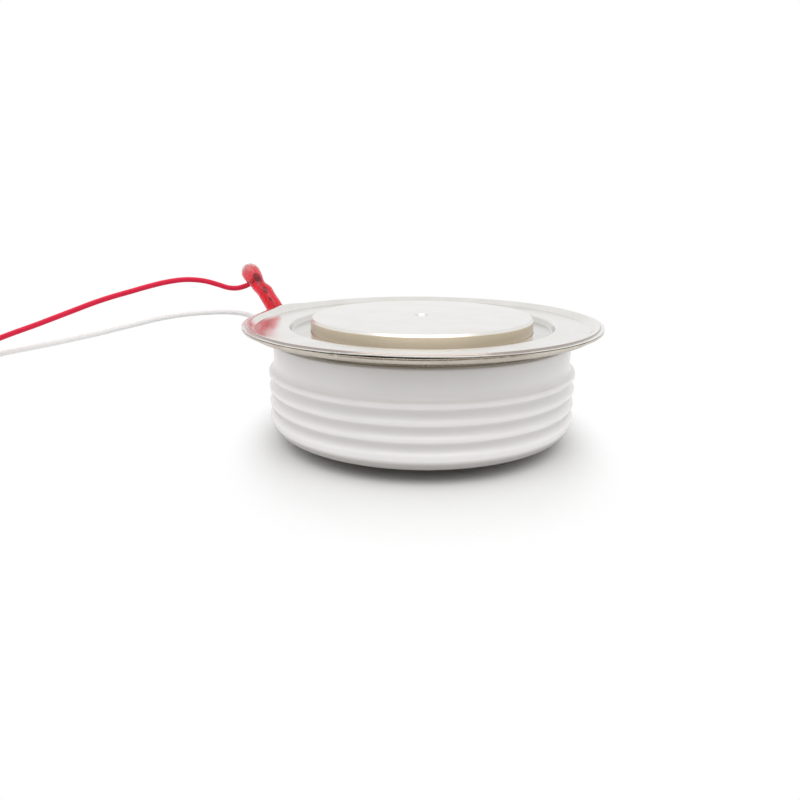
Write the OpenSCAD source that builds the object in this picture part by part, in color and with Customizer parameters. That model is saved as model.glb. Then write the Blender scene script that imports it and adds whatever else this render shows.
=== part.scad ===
// Disc thyristor in a ceramic press-pack housing, with its two control leads.
// Lengths are millimetres and angles are degrees. The origin is the centre of the lower contact
// face (the anode), and +Z runs up the axis to the upper contact face (the cathode).

/* [Housing] */
// Height between the two contact faces
housing_h = 26; // [22:0.5:40]
// Diameter of both contact faces
contact_d = 47; // [40:0.5:54]
// Chamfer round the edge of each contact face
contact_chamfer = 0.5; // [0.2:0.1:1]
// Width of the shoulder by which each pole carries its flange
pole_shoulder = 1; // [0.6:0.1:1.6]
// Height of the upper pole, from its contact face to its inner face
cathode_pole_h = 12; // [10:0.5:15]
// Diameter of the locating hole in the middle of each contact face
locating_hole_d = 2.8; // [2:0.1:4]
// Depth of the straight part of each locating hole
locating_hole_depth = 2.5; // [1.5:0.1:3]
// Drill point angle at the bottom of each locating hole
drill_point_angle = 118; // [90:1:140]

/* [Ceramic ring] */
// Wall of the ceramic at its plain neck
ceramic_wall = 3.85; // [3:0.05:5]
// Height of the plain neck above the ribs
neck_h = 4.4; // [4:0.1:8]
// Number of ribs
rib_count = 4; // [2:1:5]
// Height of the rib crests above the neck
rib_height = 1.2; // [0.8:0.1:2]
// Depth of the grooves between the ribs
groove_depth = 0.65; // [0.3:0.05:0.9]
// Radius of each rounded crest
crest_round = 0.8; // [0.4:0.1:1.2]
// Radius of the fillet from the top rib to the neck
neck_fillet = 1.5; // [1:0.1:2.5]
// Width of the ceramic's lower end
foot_w = 2.4; // [1.6:0.1:4]
// Height over which the lower end rounds out to the lowest crest
foot_rise = 3.1; // [2:0.1:4]
// Height of the ceramic's lower end above the lower contact face
ceramic_lift = 2.8; // [1.5:0.1:4]
// Chamfer round the ceramic's upper edge
ceramic_edge = 0.3; // [0.1:0.1:0.6]

/* [Flanges] */
// Thickness of the sheet metal flanges
sheet_t = 0.45; // [0.3:0.05:0.6]
// Diameter of the cold-welded upper rim
flange_d = 75; // [71:0.5:90]
// Width of the raised rim
rim_w = 2; // [1.6:0.1:3]
// Height of the raised rim above the flat part of the upper flange
rim_step = 0.9; // [0.6:0.1:1.4]
// Width of the slope up to the rim
rim_slope = 0.4; // [0.2:0.1:0.8]
// Depth of the rim's top below the upper contact face
rim_drop = 0.75; // [0.3:0.05:1.5]
// Small chamfer along the sheared edges of the rim
rim_edge = 0.1; // [0.05:0.01:0.14]
// Width of the moat's floor round the upper pole
moat_w = 3.9; // [3:0.1:4.8]
// Width of the slope on the moat's outer side
moat_slope = 0.6; // [0.4:0.1:0.9]
// Depth of the moat below the flat part of the upper flange
moat_depth = 1.2; // [0.8:0.1:2]
// Distance of the weld ring's neck outside the ceramic's bore
weld_neck_offset = 2.3; // [2:0.1:3.4]
// Height of the weld ring's neck between the ceramic and its flange
weld_neck_h = 1.8; // [1.2:0.05:3]
// Width of the foot by which the weld ring is brazed to the ceramic
weld_foot_w = 1.5; // [1:0.1:1.9]
// Gap between the two sheets inside the welded rim
weld_gap = 0.15; // [0.05:0.05:0.3]
// Distance of the lower flange's edge inside the ceramic's lower end
anode_flange_inset = 0.4; // [0.1:0.1:1]
// Inner radius of the bead that lets the lower flange flex
bead_r = 0.5; // [0.3:0.05:0.8]

/* [Wafer stack] */
// Reach of the wafer past the poles
wafer_overhang = 0.5; // [0:0.1:1.5]
// Thickness of the silicon wafer
wafer_t = 0.5; // [0.3:0.05:0.8]
// Width of the bevel ground on the wafer's edge
wafer_bevel = 0.6; // [0.3:0.1:1]
// Thickness of the lower molybdenum disc
anode_disc_t = 2; // [1:0.1:2.5]
// Thickness of the upper molybdenum disc
cathode_disc_t = 1.5; // [1:0.1:2]
// Distance of the upper disc's edge inside the wafer's edge
cathode_disc_inset = 3; // [1.5:0.1:5]
// Diameter of the window in the upper disc for the gate pin
gate_window_d = 6; // [4:0.1:8]
// Wall of the centring ring round the wafer
centring_wall = 2.4; // [2:0.1:4]
// Length of the centring ring's grip on the lower pole
centring_grip = 1.5; // [1:0.1:3]

/* [Gate contact] */
// Depth of the recess in the upper pole for the gate contact
gate_recess_h = 6.5; // [5.5:0.1:7.5]
// Wall of the insulating cup in the recess
gate_cup_wall = 0.9; // [0.5:0.05:1.2]
// Clearance between the cup and the gate pin's collar
gate_cup_ease = 0.35; // [0.2:0.05:0.6]
// Diameter of the gate pin
gate_pin_d = 1.8; // [1.2:0.1:2.4]
// Diameter of the collar on the gate pin
gate_collar_d = 4.4; // [3.8:0.1:6]
// Thickness of that collar
gate_collar_t = 0.7; // [0.5:0.05:1]
// Height of the collar above the upper pole's inner face
gate_collar_lift = 1; // [0.8:0.05:1.4]
// Room above the gate pin for its travel
gate_travel = 1.6; // [0.8:0.1:2]
// Wire of the gate spring
spring_wire_d = 0.45; // [0.3:0.05:0.5]
// Distance of the spring inside the edge of the collar
spring_inset = 0.25; // [0.1:0.05:0.4]
// Turns of the gate spring
spring_turns = 5; // [3:1:6]
// Diameter of the inner gate lead
inner_lead_d = 0.7; // [0.5:0.05:0.9]
// Wall of the sleeving on the inner gate lead
inner_sleeving_wall = 0.4; // [0.2:0.05:0.5]
// Clearance of the slot in the upper pole round that sleeving
slot_ease = 0.25; // [0.1:0.05:0.4]
// Radius of the bends in the inner gate lead
inner_bend_r = 1.5; // [1:0.1:1.8]

/* [Gate tube] */
// Outer diameter of the gate tube through the ceramic
gate_tube_d = 3; // [2.7:0.1:3.4]
// Wall of the gate tube
gate_tube_wall = 0.4; // [0.2:0.05:0.5]
// Length of the gate tube outside the ceramic
gate_tube_reach = 4.6; // [3:0.1:6]
// Width of the gate tube's brazing collar
tube_collar_w = 0.4; // [0.2:0.05:0.5]
// Thickness of that collar
tube_collar_t = 0.5; // [0.3:0.05:0.8]
// Wall of the white sleeve over the gate tube
gate_sleeve_wall = 0.35; // [0.2:0.05:0.5]
// Length of the white sleeve's narrow end on the lead
gate_sleeve_grip = 1.8; // [1:0.1:2.5]

/* [Cathode tab] */
// Direction of the tab and of the gate tube round the axis
lead_azimuth = 152.5; // [140:0.5:170]
// Width of the tab
tab_w = 2.4; // [2:0.1:4]
// Thickness of the tab
tab_t = 0.4; // [0.3:0.05:0.6]
// Distance of the tab's bend beyond the rim
tab_reach = 0.95; // [0.8:0.05:2]
// Lean of the tab away from the axis
tab_lean = 36; // [20:1:45]
// Length of the tab above its bend
tab_l = 10.6; // [6:0.1:16]
// Distance of the solder hole from the tab's end
solder_inset = 1.1; // [1:0.1:2]
// Diameter of the solder round the lead's core
solder_d = 1.8; // [1.4:0.1:2]
// Thickness of the solder on the tab
solder_t = 0.6; // [0.3:0.05:0.8]
// Wall of the red sleeve
red_sleeve_wall = 0.35; // [0.2:0.05:0.5]
// Clearance of the red sleeve round the tab's corners
red_sleeve_ease = 0.18; // [0.1:0.02:0.5]
// Gap between the rim and the red sleeve above it
red_sleeve_gap = 0.4; // [0.2:0.05:1]
// Length of the red sleeve past the tab's end
red_sleeve_head = 2.9; // [2.2:0.1:4]

/* [Control leads] */
// Outer diameter of both leads
lead_d = 1.2; // [1:0.05:1.6]
// Diameter of the tinned core of both leads
lead_core_d = 0.7; // [0.5:0.05:0.8]
// Mean diameter of the coil that each lead is wound into
coil_d = 13; // [12:0.1:16]
// Turns in each coil, in two layers
coil_turns = 4.8; // [2:0.4:6]
// Width of the tie on each coil
tie_w = 2; // [1:0.1:4]
// Thickness of the tie
tie_t = 0.3; // [0.2:0.05:0.5]
// Length of the bare tinned end of each lead
tip_l = 6; // [4:0.5:8]

/* [Hidden] */
$fn = 96;

// Clearance between pieces that are brazed, pushed or threaded together
fit_gap = 0.05;
// Steps along each rounded stretch of an outline
arc_steps = 6;
// Cut that runs past a face
past = 1;

// Radii, from the contact faces outwards
contact_r = contact_d / 2;
shoulder_r = contact_r + pole_shoulder;
wafer_r = shoulder_r + wafer_overhang;
bore_r = wafer_r + centring_wall + 2 * fit_gap;
foot_r = bore_r + foot_w;
neck_r = bore_r + ceramic_wall;
crest_r = neck_r + rib_height;
weld_neck_r = bore_r + weld_neck_offset;
rim_r = flange_d / 2;

// Levels of the upper flanges, from the rim down to the ceramic
rim_top = housing_h - rim_drop;
weld_face = rim_top - sheet_t;
rim_under = weld_face - sheet_t;
annulus_top = rim_top - rim_step;
moat_floor = annulus_top - moat_depth;
cathode_shoulder = moat_floor - sheet_t;
weld_annulus_top = annulus_top - sheet_t - weld_gap;
weld_annulus_under = weld_annulus_top - sheet_t;
ceramic_top = weld_annulus_under - weld_neck_h;

// Slope of the weld ring, which follows the flange above it until the two meet at the rim
rim_slope_in = rim_r - rim_w - rim_slope;
weld_slope_in = rim_slope_in + bend_shift(rim_step, rim_slope, sheet_t + weld_gap);
weld_slope_out = weld_slope_in + rim_slope * (weld_face - weld_annulus_top) / rim_step;
sheet_shift = bend_shift(rim_step, rim_slope, sheet_t);

// Levels of the wafer stack
cathode_inner = housing_h - cathode_pole_h;
wafer_top = cathode_inner - cathode_disc_t;
wafer_under = wafer_top - wafer_t;
anode_inner = wafer_under - anode_disc_t;

// Ribs: the grooves are arcs tangent to the crests, and so is the fillet to the neck
neck_start = ceramic_top - neck_h;
neck_arcs = crest_round + neck_fillet;
neck_flank = acos(1 - rib_height / neck_arcs);
crest_low = ceramic_lift + foot_rise;
crest_high = neck_start - neck_arcs * sin(neck_flank);
rib_pitch = (crest_high - crest_low) / (rib_count - 1);
rib_arcs = (groove_depth ^ 2 + (rib_pitch / 2) ^ 2) / (2 * groove_depth);
groove_round = rib_arcs - crest_round;
rib_flank = asin(rib_pitch / 2 / rib_arcs);

// Gate: contact in the upper pole, lead in its slot, tube half way up the ceramic's neck
collar_under = cathode_inner + gate_collar_lift;
collar_top = collar_under + gate_collar_t;
cup_in_r = gate_collar_d / 2 + gate_cup_ease;
cup_r = cup_in_r + gate_cup_wall;
recess_roof = cathode_inner + gate_recess_h;
cup_roof = recess_roof - fit_gap - gate_cup_wall;
inner_lead_z = collar_under + gate_collar_t / 2;
inner_sleeving_bore = inner_lead_d + 4 * fit_gap;
inner_sleeving_d = inner_sleeving_bore + 2 * inner_sleeving_wall;
lead_slot_w = inner_sleeving_d + 2 * slot_ease;
lead_slot_top = inner_lead_z + inner_sleeving_d / 2 + slot_ease;
gate_z = (neck_start + ceramic_top) / 2;
riser_r = (shoulder_r + bore_r) / 2;
gate_tube_end = neck_r + gate_tube_reach;
gate_taper_start = gate_tube_end + gate_tube_wall;
white_start = gate_taper_start + inner_lead_d;

// Tab and red sleeve: the bend lies just outside the rim, level with the sheet under it
tab_bend_r = rim_r + tab_reach;
tab_bend_z = rim_under - tab_t / 2;
solder_hole_h = tab_l - solder_inset;
red_sleeve_in_r = norm([tab_w, tab_t]) / 2 + red_sleeve_ease;
red_sleeve_r = red_sleeve_in_r + red_sleeve_wall;
red_sleeve_lift = rim_top + red_sleeve_gap - tab_bend_z - red_sleeve_r * sin(tab_lean);
red_sleeve_start = red_sleeve_lift / cos(tab_lean);
red_sleeve_end = tab_l + red_sleeve_head;

// Coils: two layers of turns a diameter apart, resting on their ties
coil_in_r = coil_d / 2 - coil_turns / 4 * lead_d - lead_d / 2;
coil_out_r = coil_d / 2 + coil_turns / 4 * lead_d + lead_d / 2;
coil_floor = tie_t + fit_gap;
coil_h = 2 * lead_d;
red_coil_at = [-122.6, -16.1];
white_coil_at = [-125.3, 14.2];
red_tie_azimuth = 300;
white_tie_azimuth = 60;
red_tip_azimuth = 118;
white_tip_azimuth = 256;

// Red lead: out of the sleeve, over its arch and down to its coil
red_route = [
  [-40.1, 20.9, 31], [-40.9, 21.3, 30.3], [-42.6, 21.8, 29.5], [-44.4, 21.5, 29.1],
  [-46.2, 20.8, 29.3], [-48.2, 19.8, 30.1], [-51, 18.5, 31.1], [-55, 16.9, 31.6],
  [-59, 15.5, 31.2], [-63, 14.4, 30.3], [-67, 13.3, 29.2], [-71, 12.2, 28.1],
  [-75, 11, 26.8], [-79, 10, 25.3], [-83, 8.9, 23.8], [-87, 7.8, 22.3], [-91, 6.8, 20.9],
  [-94, 6, 19.8], [-98, 4.8, 18], [-102, 3.4, 15.8], [-106, 1.9, 12.9], [-110, 0.3, 9.4],
  [-113.5, -1.3, 5.9], [-117, -3.2, 2.9], [-120, -5, 1.4], [-123, -6.8, 0.95]
];

// White lead: out of the gate sleeve, up behind the rim, then beside the red lead to its coil
white_route = [
  [-33, 17.2, 19.3], [-35, 18.2, 19.3], [-36.9, 19.1, 20.1], [-38.9, 19.8, 21.4],
  [-41.2, 20.2, 22.6], [-44, 20.1, 23.3], [-47, 19.5, 23.6], [-51, 18.6, 23.6],
  [-55, 17.7, 23.4], [-59, 16.7, 23], [-63, 15.7, 22.3], [-67, 14.6, 21.4], [-71, 13.5, 20.5],
  [-75, 12.4, 19.6], [-79, 11.3, 18.8], [-83, 10.3, 18], [-87, 9.2, 17.3], [-91, 8.1, 16.6],
  [-95, 7, 15.9], [-99, 6.1, 14.9], [-103, 5.3, 13.4], [-107, 4.6, 11.2], [-110.5, 4.2, 8.6],
  [-114, 4, 5.6], [-117.5, 4, 3], [-120.5, 4.3, 1.5], [-123.5, 5, 0.95]
];

// Outlines

function unit(v) = v / norm(v);

// Point on a circle about centre c
function on_circle(c, r, a) = c + r * [cos(a), sin(a)];

// Points of an arc about centre c, from angle a0 to angle a1
function arc(c, r, a0, a1) = [for (i = [0:arc_steps]) on_circle(c, r, a0 + (a1 - a0) * i / arc_steps)];

// Sideways shift of a bend's corner, at depth t below the outer face of a sheet that slopes
function bend_shift(rise, run, t) = t * tan(atan2(rise, run) / 2);

// Crest number i and the groove above it
function rib_outline(i) =
  let (z = crest_low + i * rib_pitch)
  let (groove_at = [crest_r - groove_depth + groove_round, z + rib_pitch / 2])
    concat(
      arc([crest_r - crest_round, z], crest_round, i == 0 ? 0 : -rib_flank, rib_flank),
      arc(groove_at, groove_round, 180 + rib_flank, 180 - rib_flank)
    );

// Outer side of the ceramic: rounded foot, ribs, fillet to the plain neck and chamfered edge
function ceramic_outline() = concat(
  [for (i = [0:arc_steps - 1]) let (a = 90 * i / arc_steps)
    [foot_r + (crest_r - foot_r) * sin(a), crest_low - foot_rise * cos(a)]],
  [for (i = [0:rib_count - 2]) each rib_outline(i)],
  arc([crest_r - crest_round, crest_high], crest_round, -rib_flank, neck_flank),
  arc([neck_r + neck_fillet, neck_start], neck_fillet, 180 + neck_flank, 180),
  [[neck_r, ceramic_top - ceramic_edge], [neck_r - ceramic_edge, ceramic_top]]
);

// Pole with its contact face at z = 0, its shoulder at shoulder_z and its inner face at h
module pole(shoulder_z, h) {
  rotate_extrude()
    polygon([
      [0, 0], [contact_r - contact_chamfer, 0], [contact_r, contact_chamfer], [contact_r, shoulder_z],
      [shoulder_r, shoulder_z], [shoulder_r, h - contact_chamfer], [shoulder_r - contact_chamfer, h], [0, h]
    ]);
}

// Locating hole to cut into the contact face at z = 0, with a drill point
module locating_hole() {
  point_h = locating_hole_d / 2 / tan(drill_point_angle / 2);
  translate([0, 0, -past])
    cylinder(d = locating_hole_d, h = locating_hole_depth + past);
  translate([0, 0, locating_hole_depth])
    cylinder(d1 = locating_hole_d, d2 = 0, h = point_h);
}

// Frame whose +X points out along the leads
module at_leads() {
  rotate([0, 0, lead_azimuth]) children();
}

// Frame with +Z out along the gate tube, from the axis
module along_gate_tube() {
  at_leads() translate([0, 0, gate_z]) rotate([0, 90, 0]) children();
}

// Frame at the tab's bend, with +Z up the tab and +X off its outer face
module along_tab() {
  at_leads() translate([tab_bend_r, 0, tab_bend_z]) rotate([0, tab_lean, 0]) children();
}

// Frame at the solder hole, with +Z out along the red lead
module along_solder_hole() {
  along_tab() translate([0, 0, solder_hole_h]) rotate([0, 90, 0]) children();
}

// Direction of a route at its point i
function heading(route, i) = unit(route[min(i + 1, len(route) - 1)] - route[max(i - 1, 0)]);

// Ring of points round a route's point, square to the route; across is never along the route
function ring(route, i, d, sides, across) =
  let (t = heading(route, i), side = unit(cross(t, across)), up = cross(side, t))
    [for (j = [0:sides - 1]) route[i] + d / 2 * (cos(360 * j / sides) * side + sin(360 * j / sides) * up)];

// Two triangles for each side of a tube, between ring i and the next; first is the first point
function tube_sides(count, sides, first) = [
  for (i = [0:count - 2], j = [0:sides - 1])
    let (a = first + i * sides, k = (j + 1) % sides)
      each [[a + j, a + k, a + sides + k], [a + j, a + sides + k, a + sides + j]]
];

function flipped(faces) = [for (f = faces) [f[2], f[1], f[0]]];

// Tube swept along a route, solid when bore is 0
module swept_tube(route, d, bore = 0, sides = 8, across = [0, 1, 0]) {
  count = len(route);
  outer = [for (i = [0:count - 1]) each ring(route, i, d, sides, across)];
  inner = [for (i = [0:count - 1]) each ring(route, i, bore, sides, across)];
  size = count * sides;
  last = size - sides;
  if (bore == 0)
    polyhedron(outer, concat(
      tube_sides(count, sides, 0),
      [[for (j = [sides - 1:-1:0]) j], [for (j = [0:sides - 1]) last + j]]
    ));
  else
    polyhedron(concat(outer, inner), concat(
      tube_sides(count, sides, 0),
      flipped(tube_sides(count, sides, size)),
      [for (j = [0:sides - 1]) let (k = (j + 1) % sides) each
        [[j, size + k, k], [j, size + j, size + k]]],
      [for (j = [0:sides - 1]) let (k = (j + 1) % sides) each
        [[last + j, last + k, size + last + k], [last + j, size + last + k, size + last + j]]]
    ));
}

// Housing

module ceramic_ring() {
  color("white")
    difference() {
      rotate_extrude()
        polygon(concat([[bore_r, ceramic_lift]], ceramic_outline(), [[bore_r, ceramic_top]]));
      along_gate_tube()
        translate([0, 0, bore_r - past])
          cylinder(d = gate_tube_d + 2 * fit_gap, h = crest_r - bore_r + 2 * past);
    }
}

module anode_pole() {
  color("gainsboro")
    difference() {
      pole(ceramic_lift, anode_inner);
      locating_hole();
    }
}

module anode_flange() {
  under = ceramic_lift - sheet_t;
  edge_r = foot_r - anode_flange_inset;
  bead_at = [riser_r, under];
  bead_out_r = bead_r + sheet_t;
  bead_foot = asin(sheet_t / bead_out_r);
  color("silver")
    rotate_extrude()
      polygon(concat(
        [[contact_r + fit_gap, under]],
        arc(bead_at, bead_r, 180, 0),
        [[edge_r, under], [edge_r, ceramic_lift]],
        arc(bead_at, bead_out_r, bead_foot, 180 - bead_foot),
        [[contact_r + fit_gap, ceramic_lift]]
      ));
}

module weld_ring() {
  neck_in = weld_neck_r - sheet_t;
  foot_in = weld_neck_r - weld_foot_w;
  color("silver")
    rotate_extrude()
      polygon([
        [foot_in, ceramic_top], [weld_neck_r, ceramic_top], [weld_neck_r, weld_annulus_under],
        [weld_slope_in + sheet_shift, weld_annulus_under], [weld_slope_out + sheet_shift, rim_under],
        [rim_r - rim_edge, rim_under], [rim_r, rim_under + rim_edge], [rim_r, weld_face - rim_edge],
        [rim_r - rim_edge, weld_face], [weld_slope_out, weld_face], [weld_slope_in, weld_annulus_top],
        [neck_in, weld_annulus_top], [neck_in, ceramic_top + sheet_t], [foot_in, ceramic_top + sheet_t]
      ]);
}

module cathode_flange() {
  floor_in = contact_r + fit_gap;
  floor_out = contact_r + moat_w;
  moat_top = floor_out + moat_slope;
  moat_shift = bend_shift(moat_depth, moat_slope, sheet_t);
  annulus_under = annulus_top - sheet_t;
  slope_out = rim_slope_in + rim_slope;
  color("gainsboro")
    rotate_extrude()
      polygon([
        [floor_in, cathode_shoulder], [floor_out + moat_shift, cathode_shoulder],
        [moat_top + moat_shift, annulus_under], [rim_slope_in + sheet_shift, annulus_under],
        [slope_out + sheet_shift, weld_face], [rim_r - rim_edge, weld_face], [rim_r, weld_face + rim_edge],
        [rim_r, rim_top - rim_edge], [rim_r - rim_edge, rim_top], [slope_out, rim_top],
        [rim_slope_in, annulus_top], [moat_top, annulus_top], [floor_out, moat_floor], [floor_in, moat_floor]
      ]);
}

module cathode_pole() {
  color("gainsboro")
    difference() {
      translate([0, 0, housing_h])
        mirror([0, 0, 1])
          difference() {
            pole(housing_h - cathode_shoulder, cathode_pole_h);
            locating_hole();
          }
      translate([0, 0, cathode_inner - past])
        cylinder(r = cup_r + fit_gap, h = gate_recess_h + past);
      lead_slot(shoulder_r + past, cathode_inner - past);
    }
}

// Slot for the inner gate lead and its sleeving, from the axis to radius r and from z up to its roof
module lead_slot(r, z) {
  at_leads()
    translate([0, -lead_slot_w / 2, z])
      cube([r, lead_slot_w, lead_slot_top - z]);
}

// Wafer stack

module anode_disc() {
  color("dimgray")
    translate([0, 0, anode_inner])
      cylinder(r = wafer_r, h = anode_disc_t);
}

module silicon_wafer() {
  color("slategray")
    translate([0, 0, wafer_under])
      cylinder(r1 = wafer_r, r2 = wafer_r - wafer_bevel, h = wafer_t);
}

module cathode_disc() {
  color("dimgray")
    translate([0, 0, wafer_top])
      difference() {
        cylinder(r = wafer_r - cathode_disc_inset, h = cathode_disc_t);
        translate([0, 0, -past])
          cylinder(d = gate_window_d, h = cathode_disc_t + 2 * past);
      }
}

module centring_ring() {
  under = anode_inner - centring_grip;
  grip_r = shoulder_r + fit_gap;
  seat_r = wafer_r + fit_gap;
  out_r = bore_r - fit_gap;
  color("ivory")
    rotate_extrude()
      polygon([
        [grip_r, under], [out_r, under], [out_r, wafer_top], [seat_r, wafer_top], [seat_r, anode_inner],
        [grip_r, anode_inner]
      ]);
}

// Gate contact

module gate_pin() {
  color("gold") {
    translate([0, 0, wafer_top])
      cylinder(d = gate_pin_d, h = cup_roof - gate_travel - wafer_top);
    translate([0, 0, collar_under])
      cylinder(d = gate_collar_d, h = gate_collar_t);
  }
}

module gate_spring() {
  low = collar_top + spring_wire_d / 2 + fit_gap;
  high = cup_roof - spring_wire_d / 2 - fit_gap;
  r = gate_collar_d / 2 - spring_inset - spring_wire_d / 2;
  steps = 12 * spring_turns;
  turn = 360 * spring_turns / steps;
  coil = [for (i = [0:steps]) [r * cos(turn * i), r * sin(turn * i), low + (high - low) * i / steps]];
  color("darkgray")
    swept_tube(coil, spring_wire_d, across = [0, 0, 1]);
}

module gate_cup() {
  under = cathode_inner + fit_gap;
  color("ivory")
    difference() {
      translate([0, 0, under])
        cylinder(r = cup_r, h = recess_roof - fit_gap - under);
      translate([0, 0, under - past])
        cylinder(r = cup_in_r, h = cup_roof - under + past);
      lead_slot(cup_r + past, under - past);
    }
}

// Route of the inner gate lead in the plane of the leads: along the slot, up beside the pole and out
function inner_route(from, to) = [
  for (p = concat(
    [[from, inner_lead_z]],
    arc([riser_r - inner_bend_r, inner_lead_z + inner_bend_r], inner_bend_r, 270, 360),
    arc([riser_r + inner_bend_r, gate_z - inner_bend_r], inner_bend_r, 180, 90),
    [[to, gate_z]]
  )) [p[0], 0, p[1]]
];

module inner_gate_lead() {
  color("silver")
    at_leads()
      swept_tube(inner_route(gate_collar_d / 2 + fit_gap, white_start), inner_lead_d);
}

module inner_sleeving() {
  end = riser_r + inner_bend_r + fit_gap;
  color("ivory")
    at_leads()
      swept_tube(inner_route(cup_r, end), inner_sleeving_d, bore = inner_sleeving_bore);
}

module gate_tube() {
  start = riser_r + inner_bend_r + 2 * fit_gap;
  color("silver")
    along_gate_tube()
      difference() {
        union() {
          translate([0, 0, start])
            cylinder(d = gate_tube_d, h = gate_tube_end - start);
          translate([0, 0, neck_r + fit_gap])
            cylinder(d = gate_tube_d + 2 * tube_collar_w, h = tube_collar_t);
        }
        translate([0, 0, start - past])
          cylinder(d = gate_tube_d - 2 * gate_tube_wall, h = gate_tube_end - start + 2 * past);
      }
}

module gate_sleeve() {
  wide_r = gate_tube_d / 2 + fit_gap;
  slim_r = lead_d / 2 + fit_gap;
  start = neck_r + tube_collar_t + 2 * fit_gap;
  slim_start = gate_taper_start + wide_r - slim_r;
  end = slim_start + gate_sleeve_grip;
  wall = gate_sleeve_wall;
  color("whitesmoke")
    along_gate_tube()
      rotate_extrude()
        polygon([
          [wide_r, start], [wide_r + wall, start], [wide_r + wall, gate_taper_start],
          [slim_r + wall, slim_start], [slim_r + wall, end], [slim_r, end], [slim_r, slim_start],
          [wide_r, gate_taper_start]
        ]);
}

// Cathode tab and its red sleeve

module cathode_tab() {
  bend_at = [tab_bend_r, tab_bend_z];
  corner = tab_t / 2 * [tan((90 - tab_lean) / 2), -1];
  end_at = bend_at + tab_l * [sin(tab_lean), cos(tab_lean)];
  end_side = tab_t / 2 * [cos(tab_lean), -sin(tab_lean)];
  root_r = weld_slope_out + sheet_shift + fit_gap;
  color("silver")
    difference() {
      at_leads()
        rotate([90, 0, 0])
          linear_extrude(tab_w, center = true)
            polygon([
              [root_r, rim_under - tab_t], bend_at + corner, end_at + end_side,
              end_at - end_side, bend_at - corner, [root_r, rim_under]
            ]);
      along_solder_hole()
        cylinder(d = lead_core_d + 2 * fit_gap, h = 2 * tab_t, center = true);
    }
}

module solder_joint() {
  core_r = lead_core_d / 2 + fit_gap;
  low = tab_t / 2;
  color("lightgray")
    along_solder_hole()
      rotate_extrude()
        polygon([
          [core_r, low], [solder_d / 2, low], [core_r + solder_t / 2, low + solder_t],
          [core_r, low + solder_t]
        ]);
}

module red_lead_core() {
  color("silver")
    along_solder_hole()
      translate([0, 0, -tab_t])
        cylinder(d = lead_core_d, h = tab_t + red_sleeve_in_r - fit_gap);
}

module red_sleeve() {
  dome = [0, red_sleeve_end - red_sleeve_r];
  color("red", 0.8)
    difference() {
      along_tab()
        rotate_extrude()
          polygon(concat(
            [[red_sleeve_in_r, red_sleeve_start], [red_sleeve_r, red_sleeve_start]],
            arc(dome, red_sleeve_r, 0, 90),
            arc(dome, red_sleeve_in_r, 90, 0)
          ));
      along_solder_hole()
        cylinder(d = lead_d + 4 * fit_gap, h = 2 * red_sleeve_r);
    }
}

// Leads

module coil_of_lead(at) {
  edge = lead_d / 3;
  translate([at[0], at[1], coil_floor])
    rotate_extrude()
      polygon([
        [coil_in_r + edge, 0], [coil_out_r - edge, 0], [coil_out_r, edge],
        [coil_out_r, coil_h - edge], [coil_out_r - edge, coil_h], [coil_in_r + edge, coil_h],
        [coil_in_r, coil_h - edge], [coil_in_r, edge]
      ]);
}

module tie_on_coil(at, azimuth) {
  in_r = coil_in_r - fit_gap;
  out_r = coil_out_r + fit_gap;
  spread = tie_w / coil_d * 360 / PI;
  translate([at[0], at[1], 0])
    rotate([0, 0, azimuth - spread])
      rotate_extrude(angle = 2 * spread)
        difference() {
          translate([in_r - tie_t, 0])
            square([out_r - in_r + 2 * tie_t, coil_h + 2 * (tie_t + fit_gap)]);
          translate([in_r, tie_t])
            square([out_r - in_r, coil_h + 2 * fit_gap]);
        }
}

module tip_on_coil(at, azimuth) {
  translate([at[0], at[1], coil_floor + coil_h + fit_gap + lead_core_d / 2])
    rotate([0, 0, azimuth])
      translate([coil_d / 2, 0, 0])
        rotate([90, 0, 0])
          cylinder(d = lead_core_d, h = tip_l, center = true);
}

module red_lead() {
  color("crimson") swept_tube(red_route, lead_d);
}

module red_coil() {
  color("crimson") coil_of_lead(red_coil_at);
}

module red_tie() {
  color("black") tie_on_coil(red_coil_at, red_tie_azimuth);
}

module red_tip() {
  color("silver") tip_on_coil(red_coil_at, red_tip_azimuth);
}

module white_lead() {
  color("whitesmoke") swept_tube(white_route, lead_d);
}

module white_coil() {
  color("whitesmoke") coil_of_lead(white_coil_at);
}

module white_tie() {
  color("black") tie_on_coil(white_coil_at, white_tie_azimuth);
}

module white_tip() {
  color("silver") tip_on_coil(white_coil_at, white_tip_azimuth);
}

ceramic_ring();
anode_pole();
anode_flange();
weld_ring();
cathode_flange();
cathode_pole();
anode_disc();
silicon_wafer();
cathode_disc();
centring_ring();
gate_pin();
gate_spring();
gate_cup();
inner_gate_lead();
inner_sleeving();
gate_tube();
gate_sleeve();
cathode_tab();
solder_joint();
red_lead_core();
red_sleeve();
red_lead();
red_coil();
red_tie();
red_tip();
white_lead();
white_coil();
white_tie();
white_tip();
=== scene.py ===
# %% [markdown]
# A disc thyristor on a pale table. The part is a switch for heavy currents: a wafer of silicon lies
# between two copper poles, inside a ring of glazed ceramic that thin metal flanges seal. The solid model
# gives every size and place. This lesson dresses it: the flanges, the ceramic and the leads get smooth
# surfaces with their small roundings, and everything gets a finish made of nodes. Lengths in the lesson
# are millimetres, as on a drawing; one helper turns them into metres.

import math

import bpy
import numpy as np
from mathutils import Matrix


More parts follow.
